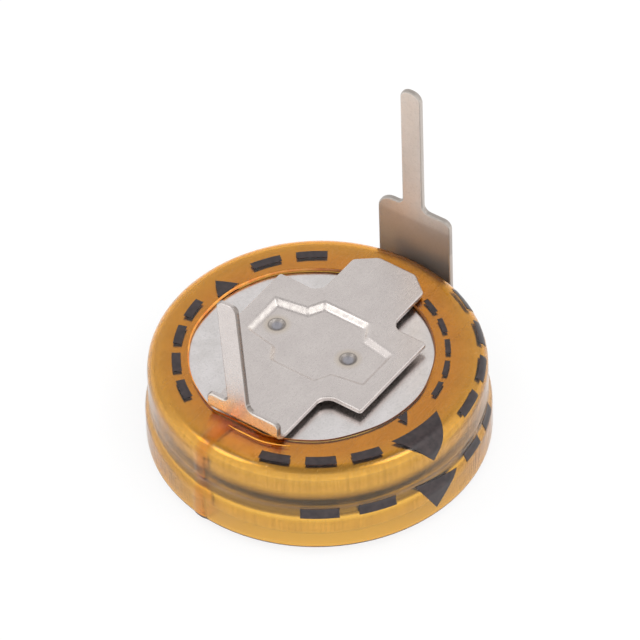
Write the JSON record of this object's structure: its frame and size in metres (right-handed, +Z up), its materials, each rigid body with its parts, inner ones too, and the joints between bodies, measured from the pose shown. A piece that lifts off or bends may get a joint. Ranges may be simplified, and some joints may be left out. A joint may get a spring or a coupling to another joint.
{
  "type": "supercapacitor",
  "caption": "Coin-type supercapacitor for flat mounting: stacked coin cells in an amber shrink-film sleeve, with a stamped solder terminal welded to each face.",
  "frame": {"origin": "on the axis of the disc, at the underside of the bottom plate that the part rests on", "axes": "+Z up along the disc's axis, the way the solder pins point; +X towards the rear terminal; +Y across the plates"},
  "size_m": [0.0118, 0.0116, 0.0108],
  "materials": {
    "film": "glossy, clear amber",
    "terminal_steel": "satin, fine rolled grain",
    "cell_steel": "bright",
    "gasket": "matte",
    "carbon": "matte, porous",
    "separator": "matte, fibrous"
  },
  "bodies": {
    "root": {"sleeve": "film", "top_terminal": "terminal_steel", "bottom_terminal": "terminal_steel", "upper_can": "cell_steel", "upper_cap": "cell_steel", "upper_gasket": "gasket", "upper_can_electrode": "carbon", "upper_cap_electrode": "carbon", "upper_separator": "separator", "lower_can": "cell_steel", "lower_cap": "cell_steel", "lower_gasket": "gasket", "lower_can_electrode": "carbon", "lower_cap_electrode": "carbon", "lower_separator": "separator"}
  },
  "joints": []
}
